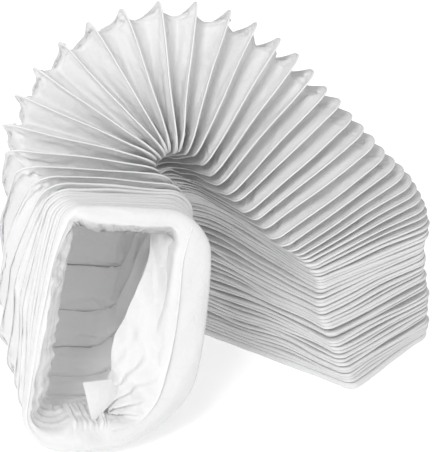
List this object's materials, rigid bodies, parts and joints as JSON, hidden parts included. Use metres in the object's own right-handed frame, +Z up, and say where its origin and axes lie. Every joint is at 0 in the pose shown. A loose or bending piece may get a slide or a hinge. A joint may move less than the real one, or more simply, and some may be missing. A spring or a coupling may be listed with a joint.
{
  "type": "flexible air duct",
  "caption": "Concertina air duct of white film over a squared spring wire, standing on its pleated stack, arched over in an open fan and turned to face forwards at its mouth.",
  "frame": {"origin": "centre of the duct's base, on the face it stands on", "axes": "+Z up; -Y is the way the mouth faces; +X to the right seen from the front"},
  "size_m": [0.3068, 0.2224, 0.2609],
  "materials": {
    "film": "white satin vinyl film, slightly translucent",
    "spring_wire": "bare spring steel"
  },
  "bodies": {
    "base_stack": {"wire_base_stack": "spring_wire", "film_base_stack": "film", "film_base_hem": "film"},
    "upper_stack": {"wire_upper_stack": "spring_wire", "film_upper_stack": "film"},
    "shoulder_1": {"wire_shoulder_1": "spring_wire", "film_shoulder_1": "film"},
    "shoulder_2": {"wire_shoulder_2": "spring_wire", "film_shoulder_2": "film"},
    "shoulder_3": {"wire_shoulder_3": "spring_wire", "film_shoulder_3": "film"},
    "turn_42": {"wire_turn_42": "spring_wire", "film_turn_42": "film"},
    "turn_43": {"wire_turn_43": "spring_wire", "film_turn_43": "film"},
    "turn_44": {"wire_turn_44": "spring_wire", "film_turn_44": "film"},
    "turn_45": {"wire_turn_45": "spring_wire", "film_turn_45": "film"},
    "turn_46": {"wire_turn_46": "spring_wire", "film_turn_46": "film"},
    "turn_47": {"wire_turn_47": "spring_wire", "film_turn_47": "film"},
    "turn_48": {"wire_turn_48": "spring_wire", "film_turn_48": "film"},
    "turn_49": {"wire_turn_49": "spring_wire", "film_turn_49": "film"},
    "turn_50": {"wire_turn_50": "spring_wire", "film_turn_50": "film"},
    "turn_51": {"wire_turn_51": "spring_wire", "film_turn_51": "film"},
    "turn_52": {"wire_turn_52": "spring_wire", "film_turn_52": "film"},
    "turn_53": {"wire_turn_53": "spring_wire", "film_turn_53": "film"},
    "turn_54": {"wire_turn_54": "spring_wire", "film_turn_54": "film"},
    "turn_55": {"wire_turn_55": "spring_wire", "film_turn_55": "film"},
    "turn_56": {"wire_turn_56": "spring_wire", "film_turn_56": "film"},
    "turn_57": {"wire_turn_57": "spring_wire", "film_turn_57": "film"},
    "turn_58": {"wire_turn_58": "spring_wire", "film_turn_58": "film"},
    "turn_59": {"wire_turn_59": "spring_wire", "film_turn_59": "film"},
    "turn_60": {"wire_turn_60": "spring_wire", "film_turn_60": "film"},
    "turn_61": {"wire_turn_61": "spring_wire", "film_turn_61": "film"},
    "turn_62": {"wire_turn_62": "spring_wire", "film_turn_62": "film"},
    "front_stack": {"wire_front_stack": "spring_wire", "film_front_stack": "film"},
    "mouth_stack": {"wire_mouth_stack": "spring_wire", "film_mouth_stack": "film", "film_mouth_hem": "film", "film_tail": "film"}
  },
  "joints": [
    {"name": "stack_stretch", "type": "slide", "parent": "base_stack", "child": "upper_stack", "axis": [-0.1039, 0.0119, 0.9945], "range_m": [0, 0.025], "deforming": ["film_base_stack"]},
    {"name": "stack_stretch_top", "type": "slide", "parent": "upper_stack", "child": "shoulder_1", "axis": [-0.2618, 0.0124, 0.9651], "range_m": [0, 0.025], "deforming": ["film_upper_stack"]},
    {"name": "fan_pleat_36", "type": "hinge", "parent": "shoulder_1", "child": "shoulder_2", "pos_m": [-0.05993, -0.00253, 0.10401], "axis": [0.0669, -0.9946, 0.0794], "range_deg": [-1.75, 0.14], "deforming": ["film_shoulder_1"]},
    {"name": "fan_pleat_39", "type": "hinge", "parent": "shoulder_2", "child": "shoulder_3", "pos_m": [-0.07171, -0.00027, 0.11527], "axis": [-0.0038, -0.9876, 0.1568], "range_deg": [-2, 0.16], "deforming": ["film_shoulder_2"]},
    {"name": "fan_pleat_41", "type": "hinge", "parent": "shoulder_3", "child": "turn_42", "pos_m": [-0.07896, 0.00162, 0.1231], "axis": [-0.0462, -0.9757, 0.2143], "range_deg": [-2.68, 0.19], "deforming": ["film_shoulder_3"]},
    {"name": "fan_open", "type": "hinge", "parent": "turn_42", "child": "turn_43", "pos_m": [-0.08238, 0.00258, 0.12704], "axis": [-0.0648, -0.9676, 0.2441], "range_deg": [-2.97, 0.16], "deforming": ["film_turn_42"]},
    {"name": "fan_pleat_43", "type": "hinge", "parent": "turn_43", "child": "turn_44", "pos_m": [-0.08573, 0.00354, 0.131], "axis": [-0.0821, -0.9581, 0.2746], "range_deg": [-3.35, 0.23], "deforming": ["film_turn_43"]},
    {"name": "fan_pleat_44", "type": "hinge", "parent": "turn_44", "child": "turn_45", "pos_m": [-0.08903, 0.00451, 0.13498], "axis": [-0.0985, -0.9469, 0.3059], "range_deg": [-3.69, 0.25], "deforming": ["film_turn_44"]},
    {"name": "fan_pleat_45", "type": "hinge", "parent": "turn_45", "child": "turn_46", "pos_m": [-0.09235, 0.00549, 0.13899], "axis": [-0.1147, -0.934, 0.3382], "range_deg": [-4.03, 0.27], "deforming": ["film_turn_45"]},
    {"name": "fan_pleat_46", "type": "hinge", "parent": "turn_46", "child": "turn_47", "pos_m": [-0.09573, 0.00649, 0.14275], "axis": [-0.1305, -0.9203, 0.3689], "range_deg": [-5.09, 0.33], "deforming": ["film_turn_46"]},
    {"name": "fan_pleat_47", "type": "hinge", "parent": "turn_47", "child": "turn_48", "pos_m": [-0.09919, 0.0074, 0.14564], "axis": [-0.1449, -0.908, 0.3932], "range_deg": [-6.87, 0.42], "deforming": ["film_turn_47"]},
    {"name": "fan_pleat_48", "type": "hinge", "parent": "turn_48", "child": "turn_49", "pos_m": [-0.10263, 0.00805, 0.14732], "axis": [-0.1563, -0.8988, 0.4095], "range_deg": [-8.65, 0.52], "deforming": ["film_turn_48"]},
    {"name": "fan_pleat_49", "type": "hinge", "parent": "turn_49", "child": "turn_50", "pos_m": [-0.10583, 0.00831, 0.14776], "axis": [-0.163, -0.893, 0.4195], "range_deg": [-10.43, 0.62], "deforming": ["film_turn_49"]},
    {"name": "fan_pleat_50", "type": "hinge", "parent": "turn_50", "child": "turn_51", "pos_m": [-0.10867, 0.00803, 0.14717], "axis": [-0.1655, -0.8883, 0.4284], "range_deg": [-11.05, 0.65], "deforming": ["film_turn_50"]},
    {"name": "fan_pleat_51", "type": "hinge", "parent": "turn_51", "child": "turn_52", "pos_m": [-0.1112, 0.00701, 0.14588], "axis": [-0.1692, -0.8806, 0.4425], "range_deg": [-10.51, 0.62], "deforming": ["film_turn_51"]},
    {"name": "fan_pleat_52", "type": "hinge", "parent": "turn_52", "child": "turn_53", "pos_m": [-0.1134, 0.00518, 0.14413], "axis": [-0.1797, -0.8681, 0.4627], "range_deg": [-9.96, 0.59], "deforming": ["film_turn_52"]},
    {"name": "fan_pleat_53", "type": "hinge", "parent": "turn_53", "child": "turn_54", "pos_m": [-0.11508, 0.00255, 0.1421], "axis": [-0.1998, -0.8507, 0.4863], "range_deg": [-9.42, 0.56], "deforming": ["film_turn_53"]},
    {"name": "fan_pleat_54", "type": "hinge", "parent": "turn_54", "child": "turn_55", "pos_m": [-0.11616, -0.00085, 0.14002], "axis": [-0.231, -0.8286, 0.5099], "range_deg": [-8.88, 0.53], "deforming": ["film_turn_54"]},
    {"name": "fan_pleat_55", "type": "hinge", "parent": "turn_55", "child": "turn_56", "pos_m": [-0.11716, -0.00455, 0.13687], "axis": [-0.2515, -0.8058, 0.5362], "range_deg": [-7.97, 0.48], "deforming": ["film_turn_55"]},
    {"name": "mouth_pleat_56", "type": "hinge", "parent": "turn_56", "child": "turn_57", "pos_m": [-0.17715, -0.04942, 0.18494], "axis": [-0.8897, 0.4057, 0.2092], "range_deg": [-4.84, 0.37], "deforming": ["film_turn_56"]},
    {"name": "mouth_pleat_57", "type": "hinge", "parent": "turn_57", "child": "turn_58", "pos_m": [-0.17376, -0.05589, 0.17742], "axis": [-0.9432, 0.2915, 0.1592], "range_deg": [-7.92, 0.57], "deforming": ["film_turn_57"]},
    {"name": "mouth_turn", "type": "hinge", "parent": "turn_58", "child": "turn_59", "pos_m": [-0.16703, -0.06222, 0.17127], "axis": [-0.9716, 0.1635, 0.1713], "range_deg": [-9, 0.6], "deforming": ["film_turn_58"]},
    {"name": "mouth_pleat_59", "type": "hinge", "parent": "turn_59", "child": "turn_60", "pos_m": [-0.16151, -0.06723, 0.16682], "axis": [-0.977, 0.0709, 0.2013], "range_deg": [-8.24, 0.6], "deforming": ["film_turn_59"]},
    {"name": "mouth_pleat_60", "type": "hinge", "parent": "turn_60", "child": "turn_61", "pos_m": [-0.15959, -0.071, 0.16438], "axis": [-0.9769, 0.0276, 0.212], "range_deg": [-7.44, 0.54], "deforming": ["film_turn_60"]},
    {"name": "mouth_pleat_61", "type": "hinge", "parent": "turn_61", "child": "turn_62", "pos_m": [-0.16039, -0.07397, 0.16348], "axis": [-0.9794, 0.016, 0.2013], "range_deg": [-6.34, 0.47], "deforming": ["film_turn_61"]},
    {"name": "mouth_pleat_62", "type": "hinge", "parent": "turn_62", "child": "front_stack", "pos_m": [-0.16185, -0.07666, 0.16321], "axis": [-0.9827, 0.0127, 0.1849], "range_deg": [-4.94, 0.38], "deforming": ["film_turn_62"]},
    {"name": "mouth_stretch", "type": "slide", "parent": "front_stack", "child": "mouth_stack", "axis": [-0.0001, -0.9996, 0.0278], "range_m": [0, 0.022], "deforming": ["film_front_stack"]}
  ],
  "couplings": [
    {"joint": "stack_stretch_top", "follows": "stack_stretch", "ratio": 0.8},
    {"joint": "fan_pleat_36", "follows": "fan_open", "ratio": 0.5714},
    {"joint": "fan_pleat_39", "follows": "fan_open", "ratio": 0.6571},
    {"joint": "fan_pleat_41", "follows": "fan_open", "ratio": 0.8857},
    {"joint": "fan_pleat_43", "follows": "fan_open", "ratio": 1.1143},
    {"joint": "fan_pleat_44", "follows": "fan_open", "ratio": 1.2286},
    {"joint": "fan_pleat_45", "follows": "fan_open", "ratio": 1.3429},
    {"joint": "fan_pleat_46", "follows": "fan_open", "ratio": 1.7},
    {"joint": "fan_pleat_47", "follows": "fan_open", "ratio": 2.3},
    {"joint": "fan_pleat_48", "follows": "fan_open", "ratio": 2.9},
    {"joint": "fan_pleat_49", "follows": "fan_open", "ratio": 3.5},
    {"joint": "fan_pleat_50", "follows": "fan_open", "ratio": 3.7086},
    {"joint": "fan_pleat_51", "follows": "fan_open", "ratio": 3.5257},
    {"joint": "fan_pleat_52", "follows": "fan_open", "ratio": 3.3429},
    {"joint": "fan_pleat_53", "follows": "fan_open", "ratio": 3.16},
    {"joint": "fan_pleat_54", "follows": "fan_open", "ratio": 2.9771},
    {"joint": "fan_pleat_55", "follows": "fan_open", "ratio": 2.6714},
    {"joint": "mouth_pleat_56", "follows": "mouth_turn", "ratio": 0.5323},
    {"joint": "mouth_pleat_57", "follows": "mouth_turn", "ratio": 0.874},
    {"joint": "mouth_pleat_59", "follows": "mouth_turn", "ratio": 0.9104},
    {"joint": "mouth_pleat_60", "follows": "mouth_turn", "ratio": 0.8209},
    {"joint": "mouth_pleat_61", "follows": "mouth_turn", "ratio": 0.6985},
    {"joint": "mouth_pleat_62", "follows": "mouth_turn", "ratio": 0.5433}
  ]
}
